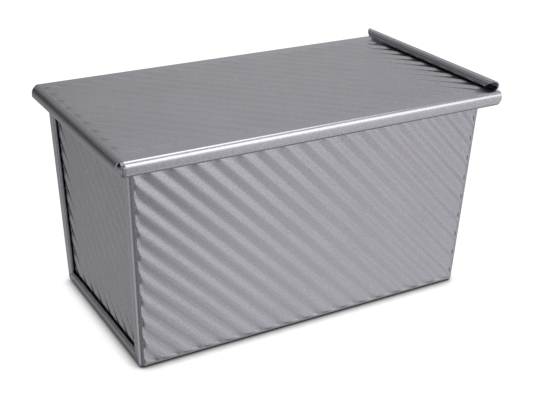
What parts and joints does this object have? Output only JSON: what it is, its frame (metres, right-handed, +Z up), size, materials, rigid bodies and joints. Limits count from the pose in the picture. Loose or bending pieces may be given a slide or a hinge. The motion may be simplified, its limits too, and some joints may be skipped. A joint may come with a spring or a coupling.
{
  "type": "pullman loaf pan",
  "caption": "Rectangular lidded loaf pan of rippled sheet steel with folded end seams, a rolled rim and a lid that slides off.",
  "frame": {"origin": "centre of the object's footprint with the lid closed, on the surface that it stands on", "axes": "+X along the pan towards the lid's curled grip, +Y across the pan, +Z up"},
  "size_m": [0.219, 0.1242, 0.1211],
  "materials": {
    "pan_steel": "satin aluminised sheet, fine grain",
    "lid_steel": "satin aluminised sheet, fine grain",
    "wire": "drawn steel wire"
  },
  "bodies": {
    "pan": {"body_wrapper": "pan_steel", "end_panel_left": "pan_steel", "end_panel_right": "pan_steel", "rim_wire": "wire"},
    "lid": {"lid": "lid_steel"}
  },
  "joints": [
    {"name": "lid_slide", "type": "slide", "parent": "pan", "child": "lid", "axis": [-1, 0, 0], "range_m": [0, 0.23]}
  ]
}
